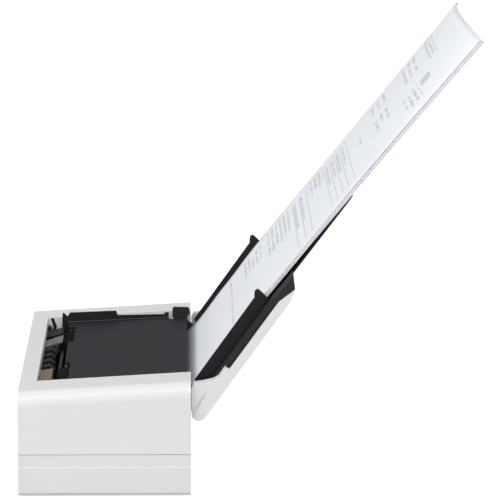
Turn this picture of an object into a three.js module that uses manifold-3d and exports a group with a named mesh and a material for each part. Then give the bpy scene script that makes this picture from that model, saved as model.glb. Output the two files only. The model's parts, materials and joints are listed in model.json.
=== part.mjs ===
// Compact sheet-fed document scanner for a counter or reception desk, cover open and loaded.
// Millimetres. X = width (right side +X), Y = front (-) to rear (+), Z = up.
// Origin: centre of the body's footprint, on the plane that the feet stand on.
import * as THREE from 'three';
import { mergeVertices } from 'three/addons/utils/BufferGeometryUtils.js';
import Module from 'manifold-3d';

const wasm = await Module();
wasm.setup();

// ---------- driving dimensions ----------
const BODY_W = 296;            // casing width
const BODY_D = 105;            // casing depth
const TOP_FRONT = 64;          // height of the top at the front edge
const TOP_REAR = 70;           // height of the top at the rear edge
const TOP_SLOPE = (TOP_REAR - TOP_FRONT) / BODY_D;
const SEAM_Z = 26;             // parting line between base tray and top housing
const SIDE_RADIUS = 9;         // rounding along the two side edges of the top
const BOTTOM_RADIUS = 3;       // rounding under the sides of the base
const BASE_Z = 0.4;            // underside of the base tray
const CREASE_Z = 18;           // crease along the sides of the base, with a draft below it
const CREASE = 0.4;
const BASE_DRAFT = 1.1;
const FOOT_H = 1.6;            // rubber feet, let into the underside
const WALL = 2.4;              // casing wall
const GAP = 0.3;               // clearance between touching pieces
const OPENING_HALF = 110;      // half-width of the opening in the top
const OPENING_FRONT = -42;     // front edge of that opening
const LIP_Z = 42;              // low rear wall behind the feed slot
const PLATE_Z = 62.1;          // top of the stacker plate at its front
const PLATE_SLOPE = 0.0475;
const PLATE_DATUM = 25.6;      // distance in front of the middle where the plate is at PLATE_Z
const PLATE_FRONT = -23.4;     // front edge at the exit rollers
const PLATE_TAB = -26.8;       // front edge between them
const PLATE_T = 2;

const HINGE = { y: 47, z: 66.5, r: 3.2, pin: 2.2 }; // cover hinge axis, along X
const HINGE_SKIN = 0.8;        // the arms close over the inner end of the pins
const COVER_FOOT = { y: 57.6, z: 42.8 };            // lower outer edge of the open cover
const COVER_TILT = THREE.MathUtils.degToRad(54.07); // slope of the open cover
const COVER_LEN = 100;
const COVER_HALF = 127;
const COVER_SKIN = -2;         // outer face of the cover
const CHUTE_LOW = 5.7;         // chute plate, measured square to the cover
const CHUTE_TOP = 7.5;
const RAIL_LOW = 4.2;          // underside of the chute's side rails
const ARM_IN = 106.4;          // hinge arms
const ARM_OUT = 109.4;

const GUIDE_IN = 105.5;        // side guide walls at their widest setting
const GUIDE_OUT = 108;
const GUIDE_S = [12.8, 83];    // where they start and end along the cover
const FLANGE_S = [16, 54];     // the ledge at the guide's foot, under the sheets
const RACK_S = 22;             // centre line of the guide racks' pinion
const PINION_R = 4;            // pitch radius
const TOOTH = 1;               // rack and pinion module
const EXT_HALF = 104;          // pull-out extension
const EXT_LEN = 76;
const EXT_END = 164.5;         // its end when pulled out
const PAPER = { w: 210, l: 297, y: 39.5, z: 44.4 };   // foot of the loaded sheets
const PAPER_TILT = THREE.MathUtils.degToRad(50.6);

const BELT_X = -118;           // middle of the belt and its pulleys
const PULLEY_R = 5;
const SHAFT_R = 2;
const PRESS = 0.05;            // bore over shaft, for parts fixed to it
const FRAME_IN = 112.5;        // side frames
const FRAME_OUT = 114;
const GUIDE_HALF = 107;        // half-width of the paper guides

// ---------- paper path, side view ----------
const along = [Math.cos(PAPER_TILT), Math.sin(PAPER_TILT)];
const across = [-along[1], along[0]];
const onPath = (back, off = 0) => ({
  y: PAPER.y - along[0] * back + across[0] * off,
  z: PAPER.z - along[1] * back + across[1] * off,
});
const TURN_R = 25;             // turn from the slope to the floor of the path
const RISE_R = 20;             // turn from the floor up to the exit
const slopeEnd = onPath(32);
const turn = { y: slopeEnd.y + across[0] * TURN_R, z: slopeEnd.z + across[1] * TURN_R };
const FLOOR_Z = turn.z - TURN_R;
const rise = { y: -13, z: FLOOR_Z + RISE_R };
const EXIT_Y = rise.y - RISE_R;

// rollers: axis y, z and radius
const pick = { ...onPath(10, 6.8), r: 6.5 };
const brake = { ...onPath(10, -6.3), r: 6 };
const drive = { y: -8, z: FLOOR_Z + 7.3, r: 7 };
const idle = { y: -8, z: FLOOR_Z - 3.3, r: 3 };
const exit = { y: EXIT_Y + 6.8, z: 53.5, r: 6.5 };
const exitIdle = { y: EXIT_Y - 3.8, z: 53.5, r: 3.5 };
const motor = { y: 0, z: 48.5, r: 11 };

// ---------- materials ----------
const finish = (color, roughness = 0.55, metalness = 0) =>
  new THREE.MeshStandardMaterial({ color, roughness, metalness });
const white = () => finish(0xe4e5e8);
const black = () => finish(0x1b1c20, 0.6);
const charcoal = () => finish(0x36373b, 0.5);
const steel = () => finish(0xb4b7bc, 0.3, 0.9);
const rubber = () => finish(0x2b2c2f, 0.85);
const acetal = () => finish(0xd8d8d4);
const grey = () => finish(0x6d6f73);
const gunmetal = () => finish(0x3c3d40, 0.45, 0.6);
const bronze = () => finish(0xa8854e, 0.35, 0.8);

// ---------- solids ----------
// plain indexed geometry -> manifold, and back
function solid(geometry) {
  const g = geometry.clone();
  g.deleteAttribute('normal');
  g.deleteAttribute('uv');
  const m = mergeVertices(g, 1e-4);
  return new wasm.Manifold(new wasm.Mesh({
    numProp: 3,
    vertProperties: new Float32Array(m.attributes.position.array),
    triVerts: new Uint32Array(m.index.array),
  }));
}
function geometryOf(manifold) {
  const mesh = manifold.getMesh();
  const g = new THREE.BufferGeometry();
  g.setAttribute('position', new THREE.BufferAttribute(new Float32Array(mesh.vertProperties), 3));
  g.setIndex(new THREE.BufferAttribute(new Uint32Array(mesh.triVerts), 1));
  g.computeVertexNormals();
  return g;
}
const box = (x0, x1, y0, y1, z0, z1) => {
  const g = new THREE.BoxGeometry(x1 - x0, y1 - y0, z1 - z0);
  g.translate((x0 + x1) / 2, (y0 + y1) / 2, (z0 + z1) / 2);
  return solid(g);
};
// round bar along X
const bar = (r, x0, x1, y, z, sides = 32) => {
  const g = new THREE.CylinderGeometry(r, r, x1 - x0, sides);
  g.rotateZ(Math.PI / 2);
  g.translate((x0 + x1) / 2, y, z);
  return solid(g);
};
// side-view outline (y, z) extruded from x0 to x1
const slab = (shape, x0, x1, curveSegments = 10) => {
  const g = new THREE.ExtrudeGeometry(shape, { depth: x1 - x0, bevelEnabled: false, curveSegments });
  // outline x -> Y, outline y -> Z, depth -> X
  g.applyMatrix4(new THREE.Matrix4().makeBasis(
    new THREE.Vector3(0, 1, 0), new THREE.Vector3(0, 0, 1), new THREE.Vector3(1, 0, 0)));
  g.translate(x0, 0, 0);
  return solid(g);
};
// front-view outline (x, z) extruded from y0 to y1
const slice = (shape, y0, y1, curveSegments = 8) => {
  const g = new THREE.ExtrudeGeometry(shape, { depth: y1 - y0, bevelEnabled: false, curveSegments });
  g.rotateX(Math.PI / 2);
  g.translate(0, y1, 0);
  return solid(g);
};
// plan-view outline (x, y) extruded from z0 to z1
const plate = (shape, z0, z1, curveSegments = 6) => {
  const g = new THREE.ExtrudeGeometry(shape, { depth: z1 - z0, bevelEnabled: false, curveSegments });
  g.translate(0, 0, z0);
  return solid(g);
};
const outline = (...points) => new THREE.Shape(points.map(([a, b]) => new THREE.Vector2(a, b)));
const sheared = (manifold, slope, from) =>
  manifold.warp((v) => { if (v[2] > from) v[2] += slope * v[1]; });

const scanner = new THREE.Group();
function piece(name, manifold, material, parent = scanner) {
  const mesh = new THREE.Mesh(geometryOf(manifold), material);
  mesh.name = name;
  parent.add(mesh);
  return mesh;
}
const sides = [['left', -1], ['right', 1]];
const span = (sign, a, b) => (sign > 0 ? [a, b] : [-b, -a]);

// ---------- casing ----------
// front-view outline of the casing, inset by t from the outer face
function casingOutline(t, low, high) {
  const w = BODY_W / 2 - t;
  const r = SIDE_RADIUS - t;
  const s = new THREE.Shape();
  s.moveTo(-w, low);
  s.lineTo(w, low);
  s.lineTo(w, high - r);
  s.absarc(w - r, high - r, r, 0, Math.PI / 2, false);
  s.lineTo(-w + r, high);
  s.absarc(-w + r, high - r, r, Math.PI / 2, Math.PI, false);
  return s;
}
function topHousing() {
  const mid = (TOP_FRONT + TOP_REAR) / 2;
  const half = BODY_D / 2;
  const low = SEAM_Z + GAP;
  const ref = 40;
  let body = sheared(slice(casingOutline(0, low, mid), -half, half), TOP_SLOPE, ref);
  const hollow = sheared(
    slice(casingOutline(WALL, low - 5, mid - WALL), -half + WALL, half - WALL), TOP_SLOPE, ref);
  body = body.subtract(hollow);
  // lining of the opening: two side walls and a front wall hanging from the rim
  const rim = (x0, x1, y0, y1, z0) =>
    sheared(box(x0, x1, y0, y1, z0, mid - 0.5), TOP_SLOPE, 60);
  for (const [, sign] of sides) {
    const [a, b] = span(sign, OPENING_HALF, OPENING_HALF + 2);
    body = body.add(rim(a, b, OPENING_FRONT - 2, half - 1, 56));
  }
  body = body.add(rim(-OPENING_HALF - 2, OPENING_HALF + 2, OPENING_FRONT - 2, OPENING_FRONT, 50));
  // the opening runs out through the rear wall, which stays as a low lip
  body = body.subtract(box(-OPENING_HALF, OPENING_HALF, OPENING_FRONT, half + 5, 45, 90));
  body = body.subtract(box(-OPENING_HALF, OPENING_HALF, half - 5, half + 5, LIP_Z, 90));
  for (const [, sign] of sides) {
    const [a, b] = span(sign, OPENING_HALF - 1, OPENING_HALF + 5);
    body = body.subtract(bar(HINGE.pin + GAP, a, b, HINGE.y, HINGE.z, 20));
  }
  // recess for the button panel in the front wall
  return body.subtract(box(90 - GAP, 130 + GAP, -half - 1, -half + WALL + 1, 33 - GAP, 51 + GAP));
}
function baseTray() {
  const w = BODY_W / 2;
  const half = BODY_D / 2;
  const profile = (inset, low, high) => {
    const r = Math.max(BOTTOM_RADIUS - inset, 0.4);
    const x = w - inset;
    const foot = x - BASE_DRAFT;
    const s = new THREE.Shape();
    s.moveTo(-x, high);
    s.lineTo(-x + CREASE, CREASE_Z + CREASE);
    s.lineTo(-x, CREASE_Z);
    s.lineTo(-foot, low + r);
    s.absarc(-foot + r, low + r, r, Math.PI, Math.PI * 1.5, false);
    s.lineTo(foot - r, low);
    s.absarc(foot - r, low + r, r, -Math.PI / 2, 0, false);
    s.lineTo(x, CREASE_Z);
    s.lineTo(x - CREASE, CREASE_Z + CREASE);
    s.lineTo(x, high);
    return s;
  };
  let tray = slice(profile(0, BASE_Z, SEAM_Z), -half, half);
  const inside = profile(WALL, BASE_Z + WALL, SEAM_Z + 5);
  tray = tray.subtract(slice(inside, -half + WALL, half - WALL));
  // lip that stands up inside the top housing
  const lip = (inset, low) =>
    box(-w + inset, w - inset, -half + inset, half - inset, low, SEAM_Z + 3);
  tray = tray.add(lip(WALL - 1, SEAM_Z - 6).subtract(lip(WALL + 1.6, SEAM_Z - 7)));
  const clearance = lip(-1, SEAM_Z).subtract(lip(WALL + GAP, SEAM_Z - 1));
  tray = tray.subtract(clearance);
  // shallow relief along the lower edge of each side
  for (const [, sign] of sides) {
    const [a, b] = span(sign, w - 2.6, w + 1);
    tray = tray.subtract(box(a, b, -26, 40, BASE_Z - 1, BASE_Z + 1.2));
  }
  // sockets for the rear connectors
  tray = tray.subtract(box(121.5, 133.5, half - 5, half + 1, 8.5, 20.5));
  tray = tray.subtract(box(98.5, 108.5, half - 5, half + 1, 9.5, 14.5));
  for (const [x, y] of footPlaces) tray = tray.subtract(footBlank(x, y, GAP, FOOT_H + GAP));
  return tray.subtract(box(-12 - GAP, 12 + GAP, -12 - GAP, 12 + GAP, -1, FOOT_H + GAP));
}
const footPlaces = [[-128, -40], [128, -40], [-128, 40], [128, 40]];
function footBlank(x, y, grow, top) {
  const g = new THREE.CylinderGeometry(7 + grow, 7 + grow, top, 28);
  g.rotateX(Math.PI / 2);
  g.translate(x, y, top / 2);
  return solid(g);
}
piece('base_tray', baseTray(), white());
piece('top_housing', topHousing(), white());
footPlaces.forEach(([x, y], i) => piece(`foot_${i + 1}`, footBlank(x, y, 0, FOOT_H), rubber()));
piece('rest_pad', box(-12, 12, -12, 12, 0, FOOT_H), rubber());

// ---------- stacker on top ----------
function stackerPlate() {
  const e = OPENING_HALF - 0.8;
  const rear = 50;
  const shape = outline(
    [-e, -28], [-90, -28], [-90, PLATE_FRONT], [-36, PLATE_FRONT], [-36, PLATE_TAB],
    [36, PLATE_TAB], [36, PLATE_FRONT], [90, PLATE_FRONT], [90, -28], [e, -28],
    [e, 37], [102, 39], [102, rear], [-102, rear], [-102, 39], [-e, 37]);
  return plate(shape, PLATE_Z - PLATE_T, PLATE_Z)
    .warp((v) => { v[2] += PLATE_SLOPE * (v[1] + PLATE_DATUM); });
}
piece('stacker_plate', stackerPlate(), charcoal());
// the left wall starts with a post and a horn and runs on as a ridge, up to a small end stop
const tallWall = outline(
  [-28.4, 62.4], [-28.4, 56], [-32.9, 56], [-32.5, 68.1], [-31.4, 68], [-29.2, 65.9], [-27.5, 68.4], [3, 69.6],
  [4, 66.6], [35, 67.2], [35.2, 68.4], [37.8, 68.5], [37.8, 65.5]);
// the right wall stays below the rim of the opening
const lowWall = outline([-28, 62.4], [-26.5, 64.8], [37, 67.4], [37.8, 65.5]);
piece('stacker_wall_left', slab(tallWall, -109.8, -108.4), black());
piece('stacker_wall_right', slab(lowWall, 108.4, 109.8), black());

// ---------- frames, guides and scan heads ----------
const shafts = [pick, brake, drive, exit];
function sideFrame(sign) {
  const [a, b] = span(sign, FRAME_IN, FRAME_OUT);
  const shape = outline([-44, 5], [40, 5], [46, 12], [46, 36], [34, 55], [-44, 55]);
  let f = slab(shape, a, b);
  for (const s of shafts) f = f.subtract(bar(SHAFT_R + GAP, a - 1, b + 1, s.y, s.z, 20));
  return sign < 0 ? f.subtract(bar(3, a - 1, b + 1, motor.y, motor.z, 20)) : f;
}
sides.forEach(([side, sign]) => piece(`side_frame_${side}`, sideFrame(sign), steel()));

// a wall of thickness t that follows the path at distance off, on its inner (+) or outer (-) side
function pathWall(from, to, off, t, top) {
  const run = (d) => {
    const pts = [];
    const steps = 8;
    const a0 = PAPER_TILT - Math.PI / 2;
    const start = onPath(from, d);
    pts.push([start.y, start.z]);
    for (let i = 0; i <= steps; i++) {
      const a = a0 - (PAPER_TILT * i) / steps;
      pts.push([turn.y + (TURN_R - d) * Math.cos(a), turn.z + (TURN_R - d) * Math.sin(a)]);
    }
    for (let i = 0; i <= steps; i++) {
      const a = -Math.PI / 2 - (Math.PI / 2) * (i / steps);
      pts.push([rise.y + (RISE_R - d) * Math.cos(a), rise.z + (RISE_R - d) * Math.sin(a)]);
    }
    pts.push([EXIT_Y + d, top]);
    return pts;
  };
  const near = run(off);
  const far = run(off + t);
  return outline(...near, ...far.reverse());
}
function clearRollers(manifold, rollers) {
  let m = manifold;
  for (const [r, x0, x1] of rollers) m = m.subtract(bar(r.r + 0.8, x0 - 1, x1 + 1, r.y, r.z, 24));
  return m;
}
const ROLLER_X = [40, 86];     // feed and exit rollers, each side of the middle
const BRAKE_X = 22;
const COMB_PITCH = 19;
const COMB_TOOTH = 8;
const scanHead = (off) => {
  const c = onPath(25, off);
  const g = new THREE.BoxGeometry(2 * GUIDE_HALF - 4, 14, 11);
  g.rotateX(PAPER_TILT);
  g.translate(0, c.y, c.z);
  return solid(g);
};
const headRoom = (off) => {
  const c = onPath(25, off);
  const g = new THREE.BoxGeometry(2 * GUIDE_HALF - 2, 15, 14);
  g.rotateX(PAPER_TILT);
  g.translate(0, c.y, c.z);
  return solid(g);
};
const HEAD_OFF = 8;
const both = ([a, b]) => [[a, b], [-b, -a]];
const rollersOn = (r) => both(ROLLER_X).map(([a, b]) => [r, a, b]);
{
  const middle = [[pick, -BRAKE_X, BRAKE_X], [brake, -BRAKE_X, BRAKE_X]];
  const outer = slab(pathWall(1, 0, -1.5, -2, 48), -GUIDE_HALF, GUIDE_HALF)
    .subtract(headRoom(-HEAD_OFF));
  piece('lower_guide', clearRollers(outer, [...middle, ...rollersOn(idle)]), black());
  const inner = slab(pathWall(4, 0, 1.5, 2, 56), -GUIDE_HALF, GUIDE_HALF)
    .subtract(headRoom(HEAD_OFF));
  piece('core_guide', clearRollers(inner, [...middle, ...rollersOn(drive), ...rollersOn(exit)]), black());
}
for (const [name, sign] of [['lower', -1], ['upper', 1]]) {
  piece(`scan_head_${name}`, scanHead(sign * (HEAD_OFF + 0.6)), black());
  const c = onPath(25, sign * 2.4);
  const g = new THREE.BoxGeometry(2 * GUIDE_HALF - 6, 13, 0.8);
  g.rotateX(PAPER_TILT);
  g.translate(0, c.y, c.z);
  piece(`scan_glass_${name}`, solid(g), finish(0x9fb2b5, 0.05, 0.1));
}

// ---------- rollers and drive ----------
function rollerSet(name, axis, x0, x1, rollers) {
  piece(`${name}_shaft`, bar(SHAFT_R, x0, x1, axis.y, axis.z, 20), steel());
  for (const [label, a, b] of rollers) {
    const body = bar(axis.r, a, b, axis.y, axis.z, 28);
    piece(label, body.subtract(bar(SHAFT_R + PRESS, a - 1, b + 1, axis.y, axis.z, 20)), rubber());
  }
}
const PULLEY_X = [BELT_X - 2, BELT_X + 2];
function pulley(name, axis) {
  let p = bar(PULLEY_R, ...PULLEY_X, axis.y, axis.z, 24);
  p = p.add(bar(PULLEY_R + 1.4, PULLEY_X[1] + 0.5, PULLEY_X[1] + 1.3, axis.y, axis.z, 24));
  p = p.add(bar(PULLEY_R - 1, PULLEY_X[1] - 0.5, PULLEY_X[1] + 0.8, axis.y, axis.z, 24));
  const bore = bar(SHAFT_R + PRESS, PULLEY_X[0] - 1, PULLEY_X[1] + 2, axis.y, axis.z, 20);
  piece(name, p.subtract(bore), acetal());
}
const SHAFT_LEFT = BELT_X - 3;
const SHAFT_RIGHT = 116;
const pair = (name) => both(ROLLER_X).map(([a, b]) => [`${name}_${a > 0 ? 'right' : 'left'}`, a, b]);
rollerSet('pick', pick, SHAFT_LEFT, SHAFT_RIGHT, [['pick_roller', -BRAKE_X, BRAKE_X]]);
rollerSet('brake', brake, -115.5, SHAFT_RIGHT, [['brake_roller', -BRAKE_X, BRAKE_X]]);
rollerSet('drive', drive, SHAFT_LEFT, SHAFT_RIGHT, pair('drive_roller'));
rollerSet('exit', exit, SHAFT_LEFT, SHAFT_RIGHT, pair('exit_roller'));
pulley('pick_pulley', pick);
pulley('drive_pulley', drive);
pulley('exit_pulley', exit);
piece('drive_motor', bar(motor.r, -109.6, -91, motor.y, motor.z, 28)
  .subtract(bar(1.8, -113, -100, motor.y, motor.z, 16)), finish(0x8b8e92, 0.35, 0.8));
piece('motor_pulley', bar(1.5, -119, -101, motor.y, motor.z, 16)
  .add(bar(PULLEY_R, ...PULLEY_X, motor.y, motor.z, 24)), finish(0xc9a75a, 0.35, 0.8));

// convex loop round the four pulleys, at radius r
function beltLoop(r) {
  const pts = [];
  for (const c of [pick, drive, exit, motor])
    for (let i = 0; i < 28; i++) {
      const a = (i / 28) * Math.PI * 2;
      pts.push([c.y + r * Math.cos(a), c.z + r * Math.sin(a)]);
    }
  pts.sort((p, q) => p[0] - q[0] || p[1] - q[1]);
  const turnsLeft = (o, a, b) => (a[0] - o[0]) * (b[1] - o[1]) - (a[1] - o[1]) * (b[0] - o[0]) > 1e-9;
  const chain = (list) => {
    const hull = [];
    for (const p of list) {
      while (hull.length > 1 && !turnsLeft(hull.at(-2), hull.at(-1), p)) hull.pop();
      hull.push(p);
    }
    return hull.slice(0, -1);
  };
  return outline(...chain(pts), ...chain(pts.reverse()));
}
piece('timing_belt', slab(beltLoop(PULLEY_R + 1.4), BELT_X - 1.6, BELT_X + 1.6)
  .subtract(slab(beltLoop(PULLEY_R + GAP), BELT_X - 3, BELT_X + 3)), rubber());

const idler = (r, axis, x0, x1) =>
  bar(r, x0, x1, axis.y, axis.z, 24).add(bar(1, x0 - 3, x1 + 3, axis.y, axis.z, 12));
for (const [side, sign] of sides) {
  piece(`drive_idler_${side}`, idler(idle.r, idle, ...span(sign, 46, 80)), grey());
  piece(`exit_idler_${side}`, idler(exitIdle.r, exitIdle, ...span(sign, 52, 74)), grey());
}
// sheet springs standing in front of the exit idlers and leading the sheets over the rollers
const springLeft = outline(
  [-41.6, 50], [-41, 50], [-40.8, 59], [-34.4, 60.4], [-31.2, 61.6], [-31.2, 62.3], [-34.8, 61],
  [-41.6, 59.6]);
const springRight = outline(
  [-41.6, 50], [-41, 50], [-40.8, 59], [-33.8, 60.2], [-33.8, 60.8], [-41.6, 59.6]);
piece('exit_spring_left', slab(springLeft, -90, -66), gunmetal());
piece('exit_spring_right', slab(springRight, 49, 84), bronze());
const flap = outline(
  [-41.7, 58.6], [-41.5, 57.9], [-38, 58.9], [-34.6, 60.2], [-30.4, 61.4], [-30.4, 62.1],
  [-34.8, 60.9], [-38.2, 59.7]);
piece('exit_strip', slab(flap, -60, -37), grey());
// black comb in front of the exit gap, open round the idlers, on a rail below the springs
function exitComb() {
  const rail = outline([-41.6, 47], [-40.6, 47], [-40.6, 49.7], [-41.6, 49.7]);
  const back = outline(
    [-41.6, 49], [-40.6, 49], [-40.4, 56.4], [-36.4, 57.4], [-36.6, 58.2], [-41.6, 57.2]);
  const tooth = outline([-41.4, 50], [-35.6, 54], [-33.9, 58.4], [-36.6, 60.6], [-41.4, 59.2]);
  const tab = outline([-41.6, 49], [-40.6, 49], [-39.4, 55], [-39.4, 60.8], [-41.6, 61.6]);
  let comb = slab(rail, -101, 107).add(slab(back, -30, 46));
  for (const [x0, x1] of [[-101, -92], [97, 107]]) comb = comb.add(slab(tab, x0, x1));
  for (let x = -26; x < 36; x += COMB_PITCH) comb = comb.add(slab(tooth, x, x + COMB_TOOTH));
  return comb;
}
piece('exit_comb', exitComb(), black());
// arm that the sheets push aside, on its own pivot
const LEVER = { y: -39, z: 52.5 };
const leverArm = outline(
  [-40, 52.5], [-38, 52.5], [-36.2, 59.9], [-38.5, 65.7], [-40.1, 65.1], [-38.4, 59.9]);
piece('exit_sensor_lever', slab(leverArm, -105.5, -104)
  .add(bar(1.2, -107, -102.5, LEVER.y, LEVER.z, 12)), black());

// ---------- electronics ----------
piece('main_board', box(-62, 84, -14, 16, 55, 56.6), finish(0x2c6a48, 0.5));
piece('dc_inlet', box(122, 133, BODY_D / 2 - 13, BODY_D / 2 - 0.4, 9, 20)
  .subtract(box(124.5, 130.5, BODY_D / 2 - 9, BODY_D / 2 + 1, 11.5, 17.5)), black());
piece('usb_socket', box(99, 108, BODY_D / 2 - 8, BODY_D / 2 - 0.4, 10, 14)
  .subtract(box(99.7, 107.3, BODY_D / 2 - 6, BODY_D / 2 + 1, 10.7, 13.3)), steel());
{
  const front = -BODY_D / 2;
  const face = (x, r) => {
    const g = new THREE.CylinderGeometry(r, r, 6, 32);
    g.translate(x, front + 1, 42);
    return solid(g);
  };
  piece('button_panel', box(90, 130, front, front + 1.6, 33, 51)
    .subtract(face(101, 6.4))
    .subtract(face(117, 6.4))
    .subtract(box(124.7, 127.3, front - 1, front + 3, 37.7, 46.3)), charcoal());
  const button = (x) => {
    const g = new THREE.CylinderGeometry(6, 6, 4.2, 32);
    g.translate(x, front + 1.3, 42);
    return solid(g);
  };
  piece('scan_button', button(101), finish(0x2f6fb3, 0.4));
  piece('power_button', button(117), finish(0xc9cbce, 0.4));
  piece('status_window', box(125, 127, front + 0.2, front + 2.2, 38, 46), finish(0x7fb6e6, 0.2));
}

// ---------- feeder cover: local x, s (up the slope), n (towards the paper) ----------
const cover = new THREE.Group();
cover.position.set(0, COVER_FOOT.y, COVER_FOOT.z);
cover.rotation.x = COVER_TILT;
scanner.add(cover);
// the hinge axis and the paper in the cover's own frame
const inCover = (y, z) => {
  const dy = y - COVER_FOOT.y;
  const dz = z - COVER_FOOT.z;
  const cos = Math.cos(COVER_TILT);
  const sin = Math.sin(COVER_TILT);
  return [dy * cos + dz * sin, dz * cos - dy * sin];
};
const [hingeS, hingeN] = inCover(HINGE.y, HINGE.z);
// round stud standing on the shell at the pinion's centre
function stud(r, low, high) {
  const g = new THREE.CylinderGeometry(r, r, high - low, 16);
  g.rotateX(Math.PI / 2);
  g.translate(0, RACK_S, (low + high) / 2);
  return solid(g);
}
function coverShell() {
  const low = COVER_SKIN;
  const panel = new THREE.Shape();
  panel.moveTo(5, low);
  panel.lineTo(92, low);
  panel.lineTo(COVER_LEN, 0.2);
  panel.lineTo(92, 1.8);
  panel.lineTo(6.2, 1.8);
  panel.quadraticCurveTo(2.4, 1.9, 2.1, 4.6);
  panel.lineTo(-1, 4.6);
  panel.quadraticCurveTo(-2.4, low, 5, low);
  let shell = slab(panel, -COVER_HALF, COVER_HALF);
  // end cheeks reach the rear of the casing and clear its top edge as the cover turns
  const reach = BODY_D / 2 + GAP;
  const cheek = new THREE.Shape();
  cheek.moveTo(5, low);
  cheek.lineTo(92, low);
  cheek.lineTo(COVER_LEN, 0.2);
  cheek.lineTo(88, 3.9);
  cheek.lineTo(36.7, 3.9);
  cheek.lineTo(36.4, 6.6);
  cheek.lineTo(29.2, 6.4);
  cheek.lineTo(25.9, 7.7);
  for (const [y, z] of [[59.85, 66.7], [54, 66.05], [53.7, 64.7], [reach, 62.9], [reach, 46.4]])
    cheek.lineTo(...inCover(y, z));
  cheek.quadraticCurveTo(-2.4, low, 5, low);
  // shallow wedge-shaped groove in the outer side of each cheek
  const groove = outline([-3, 3.4], [16.5, 7.2], [-1, 6.8]);
  for (const [, sign] of sides) {
    shell = shell.add(slab(cheek, ...span(sign, 120, COVER_HALF)));
    shell = shell.subtract(slab(groove, ...span(sign, COVER_HALF - 1.2, COVER_HALF + 1)));
  }
  return shell.add(stud(1.2, 1.5, 5));
}
piece('cover_shell', coverShell(), white(), cover);

// side view of the arms, given in the casing's own frame with the cover open
const armSide = (top) => outline(
  inCover(50.2, 63.2), ...top.map(([y, z]) => inCover(y, z)), inCover(43.2, 63.4),
  [-2.5, CHUTE_LOW], [12.4, CHUTE_LOW], [12.4, 11]);
const armBlock = [
  [50.2, 66.4], [51.9, 67.6], [51.4, 71.2], [50.4, 72], [41.3, 72.2], [40.4, 71.4], [40.4, 66]];
const armRound = [0.1, 0.3, 0.5, 0.7, 0.9].map((k) => {
  const a = Math.PI * k;
  return [HINGE.y + HINGE.r * Math.cos(a), HINGE.z + HINGE.r * Math.sin(a)];
});
function chutePlate() {
  const low = ARM_OUT;
  const rail = EXT_HALF + 1.5;
  const shape = outline(
    [-low, -3], [low, -3], [low, 6], [119.4, 6], [119.4, 94], [-119.4, 94], [-119.4, 6], [-low, 6]);
  let p = plate(shape, CHUTE_LOW, CHUTE_TOP);
  // side rails, ending in a wedge that fills the cover's upper corners
  const side = outline(
    [37, RAIL_LOW], [88, RAIL_LOW], [COVER_LEN - 0.3, 0.7], [106.2, 6], [100, CHUTE_TOP], [37, CHUTE_TOP]);
  for (const [, sign] of sides) {
    p = p.add(slab(side, ...span(sign, rail, 126.4)));
    // the lower part of the rail's outer face is set back
    p = p.subtract(box(...span(sign, 125.2, 127), 36, 85, RAIL_LOW - 1, 5.2));
    // ledge under the edge of the extension
    p = p.add(box(...span(sign, rail - 4, rail + 1), 64, 92, 2, 2.45));
    p = p.add(box(...span(sign, rail, rail + 1), 64, 92, 2, RAIL_LOW + 1));
  }
  // the top end slopes back under the sheets
  p = p.subtract(slab(outline([78, 9], [78, CHUTE_TOP], [107, 5.9], [107, 9]), -130, 130));
  for (const [, sign] of sides) {
    const [a, b] = span(sign, ARM_IN, ARM_OUT);
    p = p.add(slab(armSide(sign < 0 ? armBlock : armRound), a, b));
    const [e, f] = span(sign, ARM_IN + HINGE_SKIN, ARM_OUT + 1);
    p = p.subtract(bar(HINGE.pin + GAP, e, f, hingeS, hingeN, 20));
    // slot that the guide's foot passes through
    const [c, d] = span(sign, 40.5, GUIDE_OUT + 0.6);
    p = p.subtract(box(c, d, RACK_S - 2, RACK_S + 2, 0, 20));
  }
  return p;
}
piece('chute_plate', chutePlate(), charcoal(), cover);

for (const [side, sign] of sides) {
  const [a, b] = span(sign, ARM_IN + HINGE_SKIN + GAP, OPENING_HALF + 2.2);
  piece(`hinge_pin_${side}`, bar(HINGE.pin, a, b, HINGE.y, HINGE.z, 20), steel());
}

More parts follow.
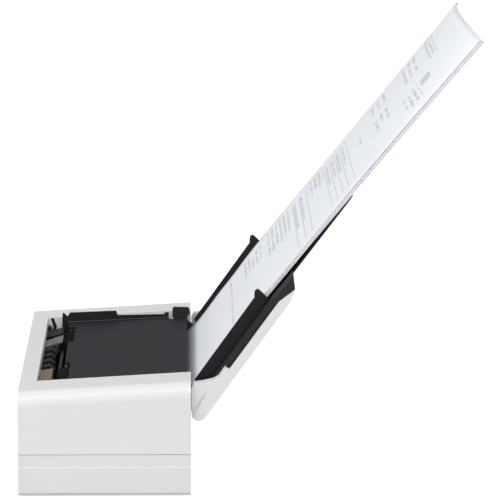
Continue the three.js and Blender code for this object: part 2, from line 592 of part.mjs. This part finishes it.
// teeth along X on a bar, with the tooth tips towards dir
function rack(x0, x1, pitchLine, dir, low, high) {
  const pitch = Math.PI * TOOTH;
  const base = pitchLine - dir * (TOOTH + 0.25);
  const back = base - dir * 1.6;
  const tip = pitchLine + dir * TOOTH * 0.8;
  const first = Math.ceil((x0 + 1) / pitch);
  const pts = [[x0, back], [x0, base]];
  for (let i = first; i * pitch < x1 - 1; i++) {
    const c = i * pitch;
    pts.push([c - 0.98, base], [c - 0.4, tip], [c + 0.4, tip], [c + 0.98, base]);
  }
  pts.push([x1, base], [x1, back]);
  return plate(outline(...(dir > 0 ? pts.reverse() : pts)), low, high);
}
const RACK_LOW = 2.4;
const RACK_HIGH = 4.4;
function sideGuide(sign) {
  const [a, b] = span(sign, GUIDE_IN, GUIDE_OUT);
  const [s0, s1] = GUIDE_S;
  const wall = outline(
    [s0, 7.9], [s1, 7.9], [s1 + 1, 12.6], [s1 + 1.4, 16.6], [s1 - 0.4, 17.6], [s1 - 2.8, 16.4],
    [s1 - 4.4, 15.2], [s0 + 3, 15], [s0, 11]);
  let g = slab(wall, a, b);
  const [c, d] = span(sign, GUIDE_IN - 9, GUIDE_IN + 0.5);
  g = g.add(box(c, d, FLANGE_S[0], FLANGE_S[1], 7.9, 8.9));
  // stem through the chute's slot, then the rack under it, reaching past the middle
  const [e, f] = span(sign, GUIDE_IN - 6, GUIDE_IN + 1);
  g = g.add(box(e, f, RACK_S - 1.4, RACK_S + 1.4, RACK_LOW, 8.4));
  const pitchLine = RACK_S - sign * PINION_R;
  const x0 = sign > 0 ? -10 : -GUIDE_IN;
  const x1 = sign > 0 ? GUIDE_IN : 10;
  g = g.add(rack(x0, x1, pitchLine, sign, RACK_LOW, RACK_HIGH));
  // foot that joins the rack to the stem
  const rackMid = pitchLine - sign * 2.6;
  const [h, k] = span(sign, GUIDE_IN - 6, GUIDE_IN);
  return g.add(box(h, k, Math.min(rackMid, RACK_S), Math.max(rackMid, RACK_S), RACK_LOW, RACK_HIGH));
}
piece('guide_left', sideGuide(-1), black(), cover);
piece('guide_right', sideGuide(1), black(), cover);
function pinion() {
  const teeth = 8;
  const shape = [];
  const root = PINION_R - 1.15 * TOOTH;
  const tip = PINION_R + 0.8 * TOOTH;
  for (let i = 0; i < teeth; i++) {
    const at = (part, r) => {
      const a = ((i + part) / teeth) * Math.PI * 2 + Math.PI / 2;
      return [r * Math.cos(a), r * Math.sin(a) + RACK_S];
    };
    shape.push(at(0.2, root), at(0.38, tip), at(0.62, tip), at(0.8, root));
  }
  return plate(outline(...shape), RACK_LOW, RACK_HIGH).subtract(stud(1.5, 0, 9));
}
piece('guide_pinion', pinion(), acetal(), cover);

function extensionTray() {
  const s0 = EXT_END - EXT_LEN;
  const s1 = EXT_END;
  const shape = outline(
    [-EXT_HALF, s0], [EXT_HALF, s0], [EXT_HALF, s1 - 3], [EXT_HALF - 3, s1], [30, s1], [24, s1 - 5],
    [-24, s1 - 5], [-30, s1], [-EXT_HALF + 3, s1], [-EXT_HALF, s1 - 3]);
  // thin, and leaning back towards its end
  const side = outline(
    [s0, 4.3], [106, 4.25], [s1 + 1, 2.75], [s1 + 1, 3.9], [106, 5.4], [s0, 5.4]);
  return plate(shape, 0, 10).intersect(slab(side, -EXT_HALF - 1, EXT_HALF + 1));
}
piece('extension_tray', extensionTray(), black(), cover);

// ---------- loaded sheets: local x, length up the slope, thickness ----------
{
  const side = outline(
    [0, 0], [60, -1.5], [107, -1.9], [186, -0.4], [PAPER.l, -0.4], [PAPER.l, 1.2], [0, 1.2]);
  const stack = piece('document_stack', slab(side, -PAPER.w / 2, PAPER.w / 2), finish(0xeceef2, 0.8));
  stack.position.set(0, PAPER.y, PAPER.z);
  stack.rotation.x = PAPER_TILT;
}

export default scanner;
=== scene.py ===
"""Looks for the compact sheet-fed document scanner: cover open, sheets loaded."""
import json
import math

import bmesh
import bpy
from mathutils import Matrix, Vector


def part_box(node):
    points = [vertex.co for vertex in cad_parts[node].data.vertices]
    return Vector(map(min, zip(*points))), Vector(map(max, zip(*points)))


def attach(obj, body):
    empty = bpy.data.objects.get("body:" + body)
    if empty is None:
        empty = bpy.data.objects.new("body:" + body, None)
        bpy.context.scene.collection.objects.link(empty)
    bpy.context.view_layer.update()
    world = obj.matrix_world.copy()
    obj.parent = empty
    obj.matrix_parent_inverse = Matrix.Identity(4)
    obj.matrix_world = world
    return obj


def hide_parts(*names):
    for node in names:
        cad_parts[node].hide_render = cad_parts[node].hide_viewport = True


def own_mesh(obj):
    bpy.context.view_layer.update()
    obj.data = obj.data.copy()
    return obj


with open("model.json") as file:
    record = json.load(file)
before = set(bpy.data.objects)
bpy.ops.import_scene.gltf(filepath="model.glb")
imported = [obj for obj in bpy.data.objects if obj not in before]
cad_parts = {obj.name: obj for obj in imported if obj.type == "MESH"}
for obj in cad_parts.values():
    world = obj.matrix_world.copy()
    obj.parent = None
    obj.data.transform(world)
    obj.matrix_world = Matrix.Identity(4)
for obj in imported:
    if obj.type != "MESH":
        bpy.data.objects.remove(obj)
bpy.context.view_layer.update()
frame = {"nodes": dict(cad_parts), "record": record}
NODES = frame["nodes"]
MM = 0.001

# the loaded sheets' own frame, as in the CAD: x across, y up the slope, z off the chute
PAPER_TILT = math.radians(50.6)
PAPER_FOOT = Vector((0, 39.5, 44.4)) * MM
PAPER = Matrix.Translation(PAPER_FOOT) @ Matrix.Rotation(PAPER_TILT, 4, "X")
A4 = (0.210, 0.297)


# ---------- camera ----------
# the photograph's view: nearly along -X from the machine's right, 9.1 degrees down, long lens
CAM_AT = Vector((2.6704, 0.05256, 0.55755))
CAM_PITCH = 0.15957
CAM_YAW = 0.01412
SENSOR = 36.0
IMAGE_PX = 500
FOCAL_PX = 4251.9


def make_camera():
    cam = bpy.data.objects.new("camera", bpy.data.cameras.new("camera"))
    bpy.context.scene.collection.objects.link(cam)
    look = Vector((
        -math.cos(CAM_PITCH) * math.cos(CAM_YAW),
        math.cos(CAM_PITCH) * math.sin(CAM_YAW),
        -math.sin(CAM_PITCH)))
    cam.location = CAM_AT
    cam.rotation_mode = "QUATERNION"
    cam.rotation_quaternion = look.to_track_quat("-Z", "Y")
    cam.data.sensor_width = SENSOR
    cam.data.lens = SENSOR * FOCAL_PX / IMAGE_PX
    cam.data.clip_start, cam.data.clip_end = 0.05, 50
    bpy.context.scene.camera = cam


make_camera()


# ---------- materials ----------
class Nodes:
    """A material's node tree, with short ways to add and join nodes."""

    def __init__(self, name):
        self.material = bpy.data.materials.new(name)
        self.material.use_nodes = True
        self.tree = self.material.node_tree
        self.tree.nodes.clear()
        self.bsdf = self.add("ShaderNodeBsdfPrincipled")
        out = self.add("ShaderNodeOutputMaterial")
        self.link(self.bsdf.outputs["BSDF"], out.inputs["Surface"])

    def add(self, kind, **settings):
        node = self.tree.nodes.new(kind)
        for key, value in settings.items():
            setattr(node, key, value)
        return node

    def link(self, a, b):
        self.tree.links.new(a, b)

    def put(self, socket, value):
        """Join a socket to the input, or set the input's own value."""
        if isinstance(value, bpy.types.NodeSocket):
            self.link(value, socket)
        else:
            socket.default_value = value

    def math(self, operation, *values):
        node = self.add("ShaderNodeMath", operation=operation)
        for socket, value in zip(node.inputs, values):
            self.put(socket, value)
        return node.outputs[0]

    def coords(self, scale=(1, 1, 1)):
        tex = self.add("ShaderNodeTexCoord")
        mapping = self.add("ShaderNodeMapping")
        mapping.inputs["Scale"].default_value = scale
        self.link(tex.outputs["Object"], mapping.inputs["Vector"])
        return mapping.outputs["Vector"]

    def noise(self, scale, detail, vector=None, roughness=0.55):
        node = self.add("ShaderNodeTexNoise")
        node.inputs["Scale"].default_value = scale
        node.inputs["Detail"].default_value = detail
        node.inputs["Roughness"].default_value = roughness
        self.link(vector or self.coords(), node.inputs["Vector"])
        return node.outputs["Fac"]

    def ramp(self, factor, stops):
        node = self.add("ShaderNodeValToRGB")
        elements = node.color_ramp.elements
        while len(elements) < len(stops):
            elements.new(0.5)
        for element, (place, color) in zip(elements, stops):
            element.position = place
            element.color = (*color, 1)
        self.link(factor, node.inputs["Fac"])
        return node.outputs["Color"]

    def mix(self, factor, a, b):
        node = self.add("ShaderNodeMix", data_type="RGBA")
        self.put(node.inputs["Factor"], factor)
        for socket, value in (("A", a), ("B", b)):
            target = [s for s in node.inputs if s.name == socket and s.type == "RGBA"][0]
            self.put(target, value if isinstance(value, bpy.types.NodeSocket) else (*value, 1))
        return [s for s in node.outputs if s.type == "RGBA"][0]

    def tone(self, factor, color, low, high):
        """Base colour between two shades of one colour; low and high are (place, shade)."""
        stops = [(place, shade(color, k)) for place, k in (low, high)]
        self.link(self.ramp(factor, stops), self.bsdf.inputs["Base Color"])

    def gloss(self, factor, spread, start):
        """Roughness that grows from start by spread as the factor goes from 0 to 1."""
        self.link(self.math("MULTIPLY_ADD", factor, spread, start), self.bsdf.inputs["Roughness"])

    def bump(self, height, strength, distance):
        node = self.add("ShaderNodeBump")
        node.inputs["Strength"].default_value = strength
        node.inputs["Distance"].default_value = distance
        self.link(height, node.inputs["Height"])
        self.link(node.outputs["Normal"], self.bsdf.inputs["Normal"])


def shade(color, k):
    """The colour k times as bright."""
    return tuple(min(1.0, c * k) for c in color)


def moulded(name, color, roughness=0.5, depth=0.00006, spread=0.03, specular=0.5):
    """Injection-moulded plastic: fine spark-eroded grain, faint flow marks, slightly uneven gloss."""
    grain_scale, flow_scale, gloss_scale, gloss_spread = 2600, 9, 34, 0.06
    n = Nodes(name)
    n.bsdf.inputs["Specular IOR Level"].default_value = specular
    n.tone(n.noise(flow_scale, 3), color, (0.3, 1 - spread), (0.7, 1 + spread))
    n.gloss(n.noise(gloss_scale, 4), gloss_spread, roughness - gloss_spread / 2)
    n.bump(n.noise(grain_scale, 2), 0.35, depth)
    return n.material


def brushed(name, color):
    """Moulded plate with faint streaks worn along the run of the sheets."""
    run, streak_scale = (22, 0.5, 1), 14
    n = Nodes(name)
    n.bsdf.inputs["Specular IOR Level"].default_value = 0.1
    streak = n.noise(streak_scale, 5, n.coords(run), 0.65)
    n.tone(streak, color, (0.3, 0.82), (0.7, 1.14))
    n.gloss(streak, 0.2, 0.42)
    n.bump(streak, 0.12, 0.00005)
    return n.material


def rubbery(name, color, specular=0.5):
    """Moulded rubber: dull, with a dusty bloom and fine ground texture."""
    bloom_scale, ground_scale = 60, 1400
    n = Nodes(name)
    n.bsdf.inputs["Specular IOR Level"].default_value = specular
    n.tone(n.noise(bloom_scale, 5), color, (0.35, 1), (0.75, 1.9))
    n.bsdf.inputs["Roughness"].default_value = 0.85
    n.bump(n.noise(ground_scale, 4), 0.5, 0.00012)
    return n.material


def metal(name, color, roughness=0.3):
    """Drawn or rolled metal with fine lines along its length."""
    along, line_scale, gloss_spread = (1, 40, 40), 30, 0.2
    n = Nodes(name)
    lines = n.noise(line_scale, 6, n.coords(along), 0.7)
    n.tone(lines, color, (0.3, 0.82), (0.7, 1.08))
    n.bsdf.inputs["Metallic"].default_value = 1.0
    n.gloss(lines, gloss_spread, roughness - gloss_spread / 2)
    n.bump(lines, 0.2, 0.00003)
    return n.material


def clear(name, color):
    """Glossy clear lens or glass over a dark inside, with a faint streak."""
    n = Nodes(name)
    streak = n.noise(20, 3)
    n.tone(streak, color, (0.4, 0.93), (0.6, 1))
    n.gloss(streak, 0.08, 0.05)
    n.bsdf.inputs["Coat Weight"].default_value = 0.5
    return n.material


def board_material():
    """Green solder mask with paler traces."""
    mask, trace = (0.015, 0.12, 0.05), (0.05, 0.24, 0.12)
    n = Nodes("circuit_board")
    cells = n.add("ShaderNodeTexBrick")
    cells.inputs["Scale"].default_value = 260
    cells.inputs["Mortar Size"].default_value = 0.012
    n.link(n.coords(), cells.inputs["Vector"])
    n.link(n.mix(cells.outputs["Fac"], mask, trace), n.bsdf.inputs["Base Color"])
    n.bsdf.inputs["Roughness"].default_value = 0.35
    return n.material


WHITE = (0.79, 0.795, 0.805)
DARK = (0.021, 0.0215, 0.0245)
PLATE = (0.0195, 0.020, 0.0255)
BLACK = (0.0065, 0.0067, 0.008)
MATERIALS = {
    "casing_white": moulded("casing_white", WHITE, 0.42, spread=0.012),
    "black_plastic": moulded("black_plastic", BLACK, 0.55, depth=0.0001, specular=0.3),
    "charcoal_plastic": moulded("charcoal_plastic", DARK, 0.55, depth=0.0001, specular=0.2),
    "worn_plate": brushed("worn_plate", PLATE),
    "rubber": rubbery("rubber", (0.02, 0.02, 0.021)),
    "steel": metal("steel", (0.6, 0.61, 0.63)),
    "bronze": metal("bronze", (0.40, 0.31, 0.20), 0.4),
    "gunmetal": metal("gunmetal", (0.012, 0.012, 0.013), 0.5),
    "dark_rubber": rubbery("dark_rubber", (0.0035, 0.0035, 0.004), 0.1),
    "acetal": moulded("acetal", (0.72, 0.70, 0.64), 0.35),
    "grey_plastic": moulded("grey_plastic", (0.14, 0.14, 0.15), 0.45),
    "light_grey_plastic": moulded("light_grey_plastic", (0.5, 0.51, 0.52), 0.4),
    "blue_plastic": moulded("blue_plastic", (0.06, 0.19, 0.45), 0.35),
    "status_lens": clear("status_lens", (0.25, 0.5, 0.75)),
    "scan_glass": clear("scan_glass", (0.35, 0.42, 0.42)),
    "circuit_board": board_material(),
}


# ---------- the sheets' print: only plain bars, rows of dashes and ruled boxes ----------
PRINTED_TINT = (0.925, 0.95, 0.995)
# the sheets under the top one are the same paper painted paler: painted light that brightens the
# stack's shaded side edges
PLAIN_TINT_PAINTED_PALER = (0.955, 0.965, 0.995)
INK = (0.12, 0.12, 0.13)
INK_LEAST = 0.16               # the print's strength, and how much its mottle adds
INK_MOTTLE = 0.35
WORD_SHARE = 0.46              # noise level above which a row shows a dash
ROW_STEP = 7.31                # keeps the dashes of one row unlike those of the next
PAINTED_SHADE_COLOR = (0.24, 0.26, 0.33)      # painted shade on the print side, where it goes down into the feed slot and along the guides
PAINTED_SHADE_REACH = 20 * MM
PAINTED_SHADE_FADE = (0.45, 0.95)       # openness where the painted shade is full, and where it is gone
SHEET_UV = "sheet"


def paper_material(name, printed, tint):
    """Office paper with a fibrous tooth, and print on it if asked; the printed one also gets painted
    shade wherever other surfaces close over it.
    """
    n = Nodes(name)
    fibre = n.noise(900, 5)
    clean = n.ramp(fibre, [(0.3, shade(tint, 0.985)), (0.7, shade(tint, 1.005))])
    n.bsdf.inputs["Roughness"].default_value = 0.75
    n.bump(fibre, 0.15, 0.00003)
    if not printed:
        n.link(clean, n.bsdf.inputs["Base Color"])
        return n.material
    # painted shade: an occlusion test mixes the print side toward a bluish grey where the feed slot
    # and guides close over it
    shade_occlusion = n.add("ShaderNodeAmbientOcclusion", samples=8)
    shade_occlusion.inputs["Distance"].default_value = PAINTED_SHADE_REACH
    full, gone = PAINTED_SHADE_FADE
    open_to_light = n.ramp(shade_occlusion.outputs["AO"], [(full, (0, 0, 0)), (gone, (1, 1, 1))])
    paper = n.mix(open_to_light, PAINTED_SHADE_COLOR, clean)
    tex = n.add("ShaderNodeUVMap", uv_map=SHEET_UV)
    split = n.add("ShaderNodeSeparateXYZ")
    n.link(tex.outputs["UV"], split.inputs[0])
    u, v = split.outputs["X"], split.outputs["Y"]

    def within(value, low, high):
        above = n.math("GREATER_THAN", value, low)
        return n.math("MULTIPLY", above, n.math("LESS_THAN", value, high))

    def block(x0, x1, y0, y1):
        """A solid bar; places are shares of the sheet's width and length."""
        return n.math("MULTIPLY", within(u, x0, x1), within(v, y0, y1))

    def rows(x0, x1, y0, y1, pitch, thick, words):
        """Rows of dashes: pitch as a share of the length, thick of the pitch, words per width."""
        count = n.math("DIVIDE", v, pitch)
        row = n.math("LESS_THAN", n.math("FRACT", count), thick)
        number = n.math("FLOOR", count)
        place = n.add("ShaderNodeCombineXYZ")
        n.link(n.math("MULTIPLY", u, words), place.inputs[0])
        n.link(n.math("MULTIPLY", number, ROW_STEP), place.inputs[1])
        gaps = n.add("ShaderNodeTexNoise")
        gaps.inputs["Scale"].default_value = 1.0
        gaps.inputs["Detail"].default_value = 1.0
        n.link(place.outputs[0], gaps.inputs["Vector"])
        word = n.math("GREATER_THAN", gaps.outputs["Fac"], WORD_SHARE)
        return n.math("MULTIPLY", n.math("MULTIPLY", row, word), block(x0, x1, y0, y1))

    def ruled(x0, x1, y0, y1, line, across):
        """A ruled box with lines at the given heights."""
        side = line * 1.4          # the sheet is 1.4 times as long as it is wide
        edge = block(x0, x1, y0, y0 + line)
        for y in across:
            edge = n.math("MAXIMUM", edge, block(x0, x1, y, y + line))
        for x in (x0, x1):
            edge = n.math("MAXIMUM", edge, block(x, x + side, y0, y1))
        return edge

    marks = [
        rows(0.10, 0.62, 0.885, 0.915, 0.012, 0.55, 60),
        block(0.735, 0.81, 0.842, 0.872),
        rows(0.12, 0.52, 0.80, 0.86, 0.018, 0.4, 34),
        rows(0.70, 0.90, 0.785, 0.835, 0.016, 0.45, 22),
        rows(0.12, 0.30, 0.70, 0.76, 0.02, 0.4, 40),
        rows(0.46, 0.66, 0.695, 0.745, 0.018, 0.42, 26),
        rows(0.40, 0.52, 0.64, 0.665, 0.018, 0.4, 20),
        ruled(0.10, 0.90, 0.535, 0.61, 0.0022, (0.553, 0.571, 0.589, 0.61)),
        rows(0.13, 0.55, 0.537, 0.61, 0.018, 0.45, 46),
        rows(0.07, 0.34, 0.478, 0.53, 0.0135, 0.55, 52),
        ruled(0.10, 0.90, 0.425, 0.47, 0.0022, (0.448, 0.47)),
        rows(0.12, 0.60, 0.425, 0.47, 0.0225, 0.4, 44),
        rows(0.07, 0.48, 0.33, 0.415, 0.0135, 0.5, 48),
        rows(0.11, 0.36, 0.255, 0.315, 0.0135, 0.5, 44),
        rows(0.10, 0.92, 0.205, 0.213, 0.02, 0.5, 60),
    ]
    ink = marks[0]
    for mark in marks[1:]:
        ink = n.math("MAXIMUM", ink, mark)
    density = n.math("MULTIPLY_ADD", n.noise(240, 2), INK_MOTTLE, INK_LEAST)
    strength = n.math("MULTIPLY", ink, density)
    n.link(n.mix(strength, paper, INK), n.bsdf.inputs["Base Color"])
    return n.material


MATERIALS["paper"] = paper_material("paper", True, PRINTED_TINT)
# the plain sheets take the paler tint, painted light on the stack's side edges
MATERIALS["paper_plain"] = paper_material("paper_plain", False, PLAIN_TINT_PAINTED_PALER)


# ---------- CAD nodes: materials, softened edges ----------
SLOT_OF = {p["node"]: p["material_slot"] for p in frame["record"]["subparts"]}
OWN_LOOK = {
    "exit_spring_left": "gunmetal", "stacker_plate": "worn_plate",
    "exit_roller_left": "dark_rubber", "exit_roller_right": "dark_rubber",
}
EDGE_MM = {                    # width of the softened edges on the larger parts
    "top_housing": 0.7, "base_tray": 0.6, "cover_shell": 0.6, "chute_plate": 0.5, "stacker_plate": 0.3,
    "guide_left": 0.35, "guide_right": 0.35, "stacker_wall_left": 0.4, "stacker_wall_right": 0.4,
    "extension_tray": 0.4, "scan_button": 0.5, "power_button": 0.5, "button_panel": 0.3,
}
SMALL_EDGE_MM = 0.15           # and on all the others
FLAT_ANGLE = math.radians(0.5)
SHARP_ANGLE = math.radians(40)


def dress(node, obj):
    """Give a CAD node its material and soft edges; its mesh stays as it is."""
    obj.data.materials.clear()
    obj.data.materials.append(MATERIALS[OWN_LOOK.get(node, SLOT_OF[node])])
    flat = obj.modifiers.new("merge_flats", "DECIMATE")
    flat.decimate_type = "DISSOLVE"
    flat.angle_limit = FLAT_ANGLE
    bevel = obj.modifiers.new("soft_edges", "BEVEL")
    bevel.width = EDGE_MM.get(node, SMALL_EDGE_MM) * MM
    bevel.segments = 3
    bevel.limit_method = "ANGLE"
    bevel.angle_limit = SHARP_ANGLE
    bevel.use_clamp_overlap = True
    for polygon in obj.data.polygons:
        polygon.use_smooth = True
    normals = obj.modifiers.new("even_shading", "WEIGHTED_NORMAL")
    normals.keep_sharp = True


for name, obj in NODES.items():
    if name != "document_stack":
        dress(name, obj)


# ---------- mesh helpers ----------
def piece(name, bm, material, body, matrix):
    """Turn a bmesh into a smooth-shaded piece, placed by the matrix."""
    bm.transform(matrix)
    bmesh.ops.recalc_face_normals(bm, faces=bm.faces[:])
    mesh = bpy.data.meshes.new(name)
    bm.to_mesh(mesh)
    bm.free()
    for polygon in mesh.polygons:
        polygon.use_smooth = True
    mesh.materials.append(MATERIALS[material])
    obj = bpy.data.objects.new(name, mesh)
    bpy.context.scene.collection.objects.link(obj)
    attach(obj, body)
    return obj


# ---------- contacts inside the rear connectors ----------
PIN = [(0, 0), (0, 0.9), (6.2, 0.9), (6.9, 0.6), (7.1, 0)]     # (along, radius) in mm
PIN_START = 8.2 * MM           # forward of the inlet's rear face
TONGUE_HALF = Vector((3.1, 2.4, 0.35)) * MM
TONGUE_EDGE = 0.12 * MM
TONGUE_MIDDLE = 3.4 * MM       # forward of the socket's rear face


def lathe(profile, sides=24):
    """Closed round solid about Y from (y, radius) points that start and end on the axis."""
    bm = bmesh.new()
    rings = []
    for y, r in profile:
        if r == 0:
            rings.append([bm.verts.new((0, y, 0))] * sides)
            continue
        turn = [2 * math.pi * k / sides for k in range(sides)]
        rings.append([bm.verts.new((r * math.cos(a), y, r * math.sin(a))) for a in turn])
    for low, high in zip(rings, rings[1:]):
        for k in range(sides):
            ring = [low[k], low[(k + 1) % sides], high[(k + 1) % sides], high[k]]
            bm.faces.new(list(dict.fromkeys(ring)))
    return bm


def behind_face(node, depth):
    """Matrix to a point on a connector's middle line, a depth in from its rear face."""
    low, high = (Vector(c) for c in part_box(node))
    middle = (low + high) / 2
    return Matrix.Translation((middle.x, high.y - depth, middle.z))


def make_contacts():
    """Centre pin of the power inlet and the tongue of the data socket, both inside their shells."""
    pin = lathe([(y * MM, r * MM) for y, r in PIN])
    piece("power_pin", pin, "steel", "chassis", behind_face("dc_inlet", PIN_START))

    tongue = bmesh.new()
    bmesh.ops.create_cube(tongue, size=2)
    tongue.transform(Matrix.Diagonal((*TONGUE_HALF, 1)))
    bmesh.ops.bevel(tongue, geom=tongue.edges[:], offset=TONGUE_EDGE, segments=2, affect="EDGES")
    piece("data_tongue", tongue, "black_plastic", "chassis",
          behind_face("usb_socket", TONGUE_MIDDLE))


make_contacts()


# ---------- loaded sheets ----------
SHEETS = 14
SHEET_T = 0.10 * MM
TOP_SHEET = 1.05 * MM          # the top sheet's height over the slope line
SHEET_PITCH = 0.105 * MM
FAN = 0.06 * MM                # extra pitch where the side edges fan out
TOP_GAP = 0.6 * MM             # the top sheet stands a little clear at its side edges
CROWN = 7.5 * MM               # how far the middle bows forward at the free end
CROWN_FROM = 0.36              # where along the length the bow starts
CORNER_CURL = 2.2 * MM         # how far the free corner at +X drops back
CURL_ACROSS = 0.72             # shares of the half width and of the length where that starts
CURL_ALONG = 0.55
RIPPLE = 0.15 * MM
SLIP = (0.5 * MM, 0.9 * MM)    # how far the sheets slip over each other, across and along
TOP_SLIP = Vector((-0.4, 0.5, 0)) * MM
CELLS = (30, 44)               # mesh cells across and along
# (share across or along, value) stops
DIP = [(0, 0), (0.02, -0.4), (0.09, -2.5), (0.19, -1.3), (0.3, 0), (1, 0)]      # slack, in mm
LOOSE_ACROSS = [(-1, 0.15), (-0.2, 0), (0.2, 0), (1, 1)]
LOOSE_ALONG = [(0, 0.2), (0.3, 1), (1, 0.85)]
GAP_ALONG = [(0.4, 0.15), (0.75, 1)]


def past(value, start):
    """0 up to the start, then growing to 1 where the value is 1."""
    return max(0.0, (value - start) / (1 - start))


def between(t, stops):
    """Smooth curve through (place, value) stops."""
    for (t0, a), (t1, b) in zip(stops, stops[1:]):
        if t <= t1:
            k = max(0.0, (t - t0) / (t1 - t0))
            return a + (b - a) * k * k * (3 - 2 * k)
    return stops[-1][1]


def sheet_height(x, t, index):
    """How far a sheet stands off its straight line, at x across and t along (0 to 1)."""
    across = x / (A4[0] / 2)
    bow = CROWN * past(t, CROWN_FROM) ** 2 * (1 - across * across)
    curl = CORNER_CURL * past(across, CURL_ACROSS) ** 2 * past(t, CURL_ALONG) ** 2
    ripple = RIPPLE * math.sin(9 * t) * math.sin(4 * across) * min(1.0, t * 3)
    loose = between(across, LOOSE_ACROSS) * between(t, LOOSE_ALONG)
    depth = SHEETS - 1 - index
    gap = TOP_GAP * between(t, GAP_ALONG) if depth else 0
    under = depth * (SHEET_PITCH + loose * FAN) + loose * gap
    return TOP_SHEET + bow - curl + ripple + between(t, DIP) * MM - under


def make_sheet(index):
    """One closed sheet of the stack, counted from the chute; only the top one is printed."""
    on_top = index == SHEETS - 1
    bm = bmesh.new()
    uv = bm.loops.layers.uv.new(SHEET_UV)
    cols, rows = CELLS
    shift = Vector((SLIP[0] * math.sin(2.4 * index), SLIP[1] * math.sin(1.7 * index + 0.6), 0))
    if on_top:
        shift = TOP_SLIP

    def at(i, j, top):
        x = (i / cols - 0.5) * A4[0]
        t = j / rows
        n = sheet_height(x, t, index) + (SHEET_T if top else 0)
        return Vector((x, t * A4[1], n)) + shift

    grid = [[[bm.verts.new(at(i, j, top)) for i in range(cols + 1)] for j in range(rows + 1)]
            for top in (False, True)]

    def face(corners):
        f = bm.faces.new([grid[top][j][i] for i, j, top in corners])
        for loop, (i, j, _) in zip(f.loops, corners):
            loop[uv].uv = (i / cols, j / rows)

    for j in range(rows):
        for i in range(cols):
            face([(i, j, 1), (i + 1, j, 1), (i + 1, j + 1, 1), (i, j + 1, 1)])
            face([(i, j, 0), (i, j + 1, 0), (i + 1, j + 1, 0), (i + 1, j, 0)])
    for j in range(rows):
        face([(0, j, 0), (0, j, 1), (0, j + 1, 1), (0, j + 1, 0)])
        face([(cols, j, 0), (cols, j + 1, 0), (cols, j + 1, 1), (cols, j, 1)])
    for i in range(cols):
        face([(i, 0, 0), (i + 1, 0, 0), (i + 1, 0, 1), (i, 0, 1)])
        face([(i, rows, 0), (i, rows, 1), (i + 1, rows, 1), (i + 1, rows, 0)])
    look = "paper" if on_top else "paper_plain"
    sheet = piece(f"sheet_{index + 1}", bm, look, "documents", PAPER)
    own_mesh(sheet)
    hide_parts("document_stack")


for k in range(SHEETS):
    make_sheet(k)


# ---------- stage ----------
HORIZON = 0.2                  # light from the surroundings, growing towards the ceiling
CEILING = 0.7
FLOOR_HALF = 12
FLOOR_DROP = 0.2 * MM
FLOOR_SEEN = 0.8               # the floor's own white, for the camera only
SOFTBOXES = {                  # place, aim, size, watts
    "key": ((1.25, -0.2, 2.0), (0, 0.05, 0.1), (1.0, 1.0), 17.5),
    "front": ((0.35, -2.1, 1.35), (0, 0.1, 0.15), (1.2, 1.0), 13.0),
    "side": ((3.4, 0.05, 0.5), (0, 0.05, 0.1), (2.0, 1.6), 29.0),
    "back": ((-1.0, 2.5, 0.45), (0, 0.1, 0.1), (2.0, 1.4), 30.0),
}


def make_stage():
    """Pale paper floor just under the feet."""
    bm = bmesh.new()
    bmesh.ops.create_grid(bm, x_segments=2, y_segments=2, size=FLOOR_HALF)
    mesh = bpy.data.meshes.new("floor")
    bm.to_mesh(mesh)
    bm.free()
    floor = bpy.data.objects.new("floor", mesh)
    bpy.context.scene.collection.objects.link(floor)
    floor.location.z = -FLOOR_DROP
    n = Nodes("floor_paper")
    n.tone(n.noise(2, 2), (1, 1, 1), (0.3, 0.66), (0.7, 0.68))
    n.bsdf.inputs["Roughness"].default_value = 0.9
    n.bsdf.inputs["Emission Color"].default_value = (1, 1, 1, 1)
    seen = n.add("ShaderNodeLightPath").outputs["Is Camera Ray"]
    n.link(n.math("MULTIPLY", seen, FLOOR_SEEN), n.bsdf.inputs["Emission Strength"])
    mesh.materials.append(n.material)


def make_world():
    """White surroundings, brighter overhead; full white where the camera sees them."""
    world = bpy.data.worlds.new("studio")
    world.use_nodes = True
    tree = world.node_tree
    back = tree.nodes["Background"]
    back.inputs["Color"].default_value = (1, 1, 1, 1)
    place = tree.nodes.new("ShaderNodeTexCoord")
    split = tree.nodes.new("ShaderNodeSeparateXYZ")
    tree.links.new(place.outputs["Generated"], split.inputs[0])
    sky = tree.nodes.new("ShaderNodeMapRange")
    sky.inputs["To Min"].default_value = HORIZON
    sky.inputs["To Max"].default_value = CEILING
    tree.links.new(split.outputs["Z"], sky.inputs["Value"])
    path = tree.nodes.new("ShaderNodeLightPath")
    level = tree.nodes.new("ShaderNodeMapRange")
    tree.links.new(path.outputs["Is Camera Ray"], level.inputs["Value"])
    tree.links.new(sky.outputs["Result"], level.inputs["To Min"])
    level.inputs["To Max"].default_value = 1.0
    tree.links.new(level.outputs["Result"], back.inputs["Strength"])
    bpy.context.scene.world = world


def softbox(name, at, aim, size, watts):
    """A rectangular area light."""
    light = bpy.data.lights.new(name, "AREA")
    light.shape = "RECTANGLE"
    light.size, light.size_y = size
    light.energy = watts
    obj = bpy.data.objects.new(name, light)
    bpy.context.scene.collection.objects.link(obj)
    obj.location = at
    obj.rotation_mode = "QUATERNION"
    obj.rotation_quaternion = (Vector(aim) - Vector(at)).to_track_quat("-Z", "Y")


make_stage()
make_world()
for name, settings in SOFTBOXES.items():
    softbox(name, *settings)

bpy.context.scene.view_settings.view_transform = "Standard"
